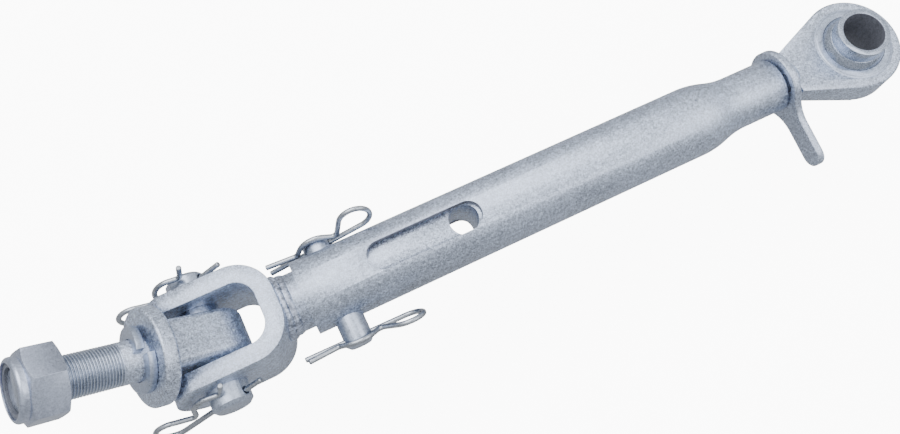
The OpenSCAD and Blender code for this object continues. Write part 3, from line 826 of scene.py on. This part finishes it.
def soften_taper(obj):
    """Runs the swaged taper into the tube and the neck with smooth curves."""
    bm = bmesh.new()
    bm.from_mesh(obj.data)
    for corner in (TAPER_START, NECK_START):
        for i in range(-TAPER_STEPS, TAPER_STEPS + 1):
            # the corners themselves already have their edges
            if i:
                x = corner + TAPER_BLEND * i / TAPER_STEPS
                bmesh.ops.bisect_plane(bm, geom=bm.verts[:] + bm.edges[:] + bm.faces[:],
                                       plane_co=(x * MM, 0, 0), plane_no=(1, 0, 0), dist=CUT)
    low, high = TAPER_START - TAPER_BLEND, NECK_START + TAPER_BLEND
    for v in bm.verts:
        x, away = v.co.x / MM, math.hypot(v.co.y, v.co.z) / MM
        # only the outer skin: the bore lies well inside these radii
        if low < x < high and away > max(NECK_R - NECK_SKIN, swaged_radius(x) - TAPER_SKIN):
            f = swaged_radius(x) / away
            v.co.y *= f
            v.co.z *= f
    bm.to_mesh(obj.data)
    bm.free()


def darken_inside(obj, radius):
    """Gives the faces inside a round piece at the ball end, within a radius of its axis and
    facing it, the dark bore material.
    """
    obj.data.materials.append(MATS["bore"])
    axis = (turn("X", EYE_ROLL).to_3x3() @ Vector((0, 0, 1))).normalized()
    for face in obj.data.polygons:
        c = face.center
        off = c - axis * c.dot(axis)
        if off.length < radius * MM and face.normal.dot(off) < 0:
            face.material_index = 1


def shade_slot_walls(obj):
    """Paints the walls of the long slot with the dark bore material, as painted shade for the
    shadow inside the slot.
    """
    obj.data.materials.append(MATS["bore"])
    for face in obj.data.polygons:
        x, y, z = face.center / MM
        in_slot = SLOT_START < x < SLOT_END and abs(y) < SLOT_SIDE and abs(z) > SLOT_ABOVE
        upright = abs(face.normal.z) < 0.3
        if in_slot and upright and math.hypot(y, z) < TUBE_R - SLOT_SKIN:
            face.material_index = 1


# piece: node, body, slot, material, edge width in millimetres
PIECES = [
    ("outer_tube", "strut", "zinc_plated_steel", "tube", 0.25),
    ("inner_bar", "strut", "zinc_plated_steel", "bar", 0.3),
    ("fork", "strut", "zinc_plated_steel", "strap", 0.35),
    ("locking_pin", "locking_pin_set", "zinc_plated_steel", "pin", 0.25),
    ("hinge_pin", "hinge_pin_set", "zinc_plated_steel", "pin", 0.3),
    ("spring_washer", "washer", "zinc_plated_steel", "washer", 0.25),
    ("lock_nut", "nut", "zinc_nut", "nut", 0.3),
    ("ball_race", "eye", "bearing_steel", "race", 0.3),
    ("ball", "swivel_ball", "bearing_steel", "ball", 0.3),
    ("locking_lever", "lever", "zinc_plated_steel", "tube", 0.35),
]


def rigid_pieces():
    for node, body, slot, mat, edge in PIECES:
        obj = merged_copy(node, node + "_plated")
        if node == "outer_tube":
            soften_taper(obj)
        broken_edges(obj, edge)
        paint(obj, mat)
        mount(obj, body, node)
        if node == "outer_tube":
            # painted shade: the slot's walls are darkened to stand for the shadow inside the slot
            shade_slot_walls(obj)
        if node == "ball":
            darken_inside(obj, BORE_R + BORE_MARGIN)
        if node == "ball_race":
            darken_inside(obj, SEAT_R)
    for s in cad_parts["nut_insert"].material_slots:
        s.material = MATS["nylon"]


# ---------------------------------------------------------------- floor, light and camera
def stage():
    """A plain pale floor that glows for the camera alone and throws little light back."""
    s, z = FLOOR_HALF, FLOOR_Z
    floor = new_object("floor", [(-s, -s, z), (s, -s, z), (s, s, z), (-s, s, z)], [],
                       [(0, 1, 2, 3)])
    m, t, shader = new_material("pale_floor")
    place = add(t, "ShaderNodeTexCoord").outputs["Object"]
    shade = ranged(t, noise(t, place, 3, 2), 0, 1, *FLOOR_TONES)
    seen = add(t, "ShaderNodeLightPath").outputs["Is Camera Ray"]
    shown = calc(t, "ADD", calc(t, "MULTIPLY", seen, 1 - FLOOR_BOUNCE), FLOOR_BOUNCE)
    t.links.new(calc(t, "MULTIPLY", shade, shown), shader.inputs["Base Color"])
    glow = add(t, "ShaderNodeCombineColor")
    for i in range(3):
        t.links.new(seen, glow.inputs[i])
    t.links.new(glow.outputs[0], shader.inputs["Emission Color"])
    shader.inputs["Emission Strength"].default_value = BACKDROP_GLOW
    shader.inputs["Roughness"].default_value = 0.95
    shader.inputs["Specular IOR Level"].default_value = 0.1
    floor.data.materials.append(m)


def area(name, pos, size, power):
    """A rectangular light that points at the part."""
    data = bpy.data.lights.new(name, "AREA")
    data.shape = "RECTANGLE"
    data.size, data.size_y = size
    data.energy = power
    obj = placed(name, data)
    obj.location = pos
    aim = Vector(LIT_SPOT) - Vector(pos)
    obj.rotation_euler = aim.to_track_quat("-Z", "Y").to_euler()


def lights():
    """A wide soft sky that fades towards the horizon and the stud's end, and two lights."""
    world = bpy.data.worlds.new("studio")
    world.use_nodes = True
    t = world.node_tree
    sky = t.nodes["Background"]
    sky.inputs["Color"].default_value = SKY_COLOUR
    axes = split(t, add(t, "ShaderNodeTexCoord").outputs["Generated"])
    lean = calc(t, "ADD", axes[2], calc(t, "MULTIPLY", axes[0], SKY_LEAN[0]))
    lean = calc(t, "ADD", lean, calc(t, "MULTIPLY", axes[1], SKY_LEAN[1]))
    lit = ranged(t, lean, *SKY_FADE, ease="SMOOTHSTEP")
    seen = add(t, "ShaderNodeLightPath").outputs["Is Camera Ray"]
    t.links.new(calc(t, "ADD", calc(t, "MULTIPLY", seen, BACKDROP_GLOW), lit),
                sky.inputs["Strength"])
    SCENE.world = world
    for light in LIGHTS:
        area(*light)


def camera():
    """The camera that took the photograph, as it was solved from it."""
    right, up = Vector(CAMERA_RIGHT), Vector(CAMERA_UP)
    back = right.cross(up)
    data = bpy.data.cameras.new("camera")
    data.lens = CAMERA_LENS
    data.sensor_width = CAMERA_SENSOR
    data.sensor_fit = "HORIZONTAL"
    data.clip_start = 0.01
    obj = placed("camera", data)
    obj.matrix_world = Matrix([
        (right[i], up[i], back[i], CAMERA_AT[i]) for i in range(3)] + [(0, 0, 0, 1)])
    SCENE.camera = obj


rigid_pieces()
stud_bolt()
eye_rod_piece()
for clip in LOCKING_CLIPS:
    locking_clip(*clip)
for clip in HINGE_CLIPS:
    hinge_clip(*clip)
weld_bead()
stage()
lights()
camera()
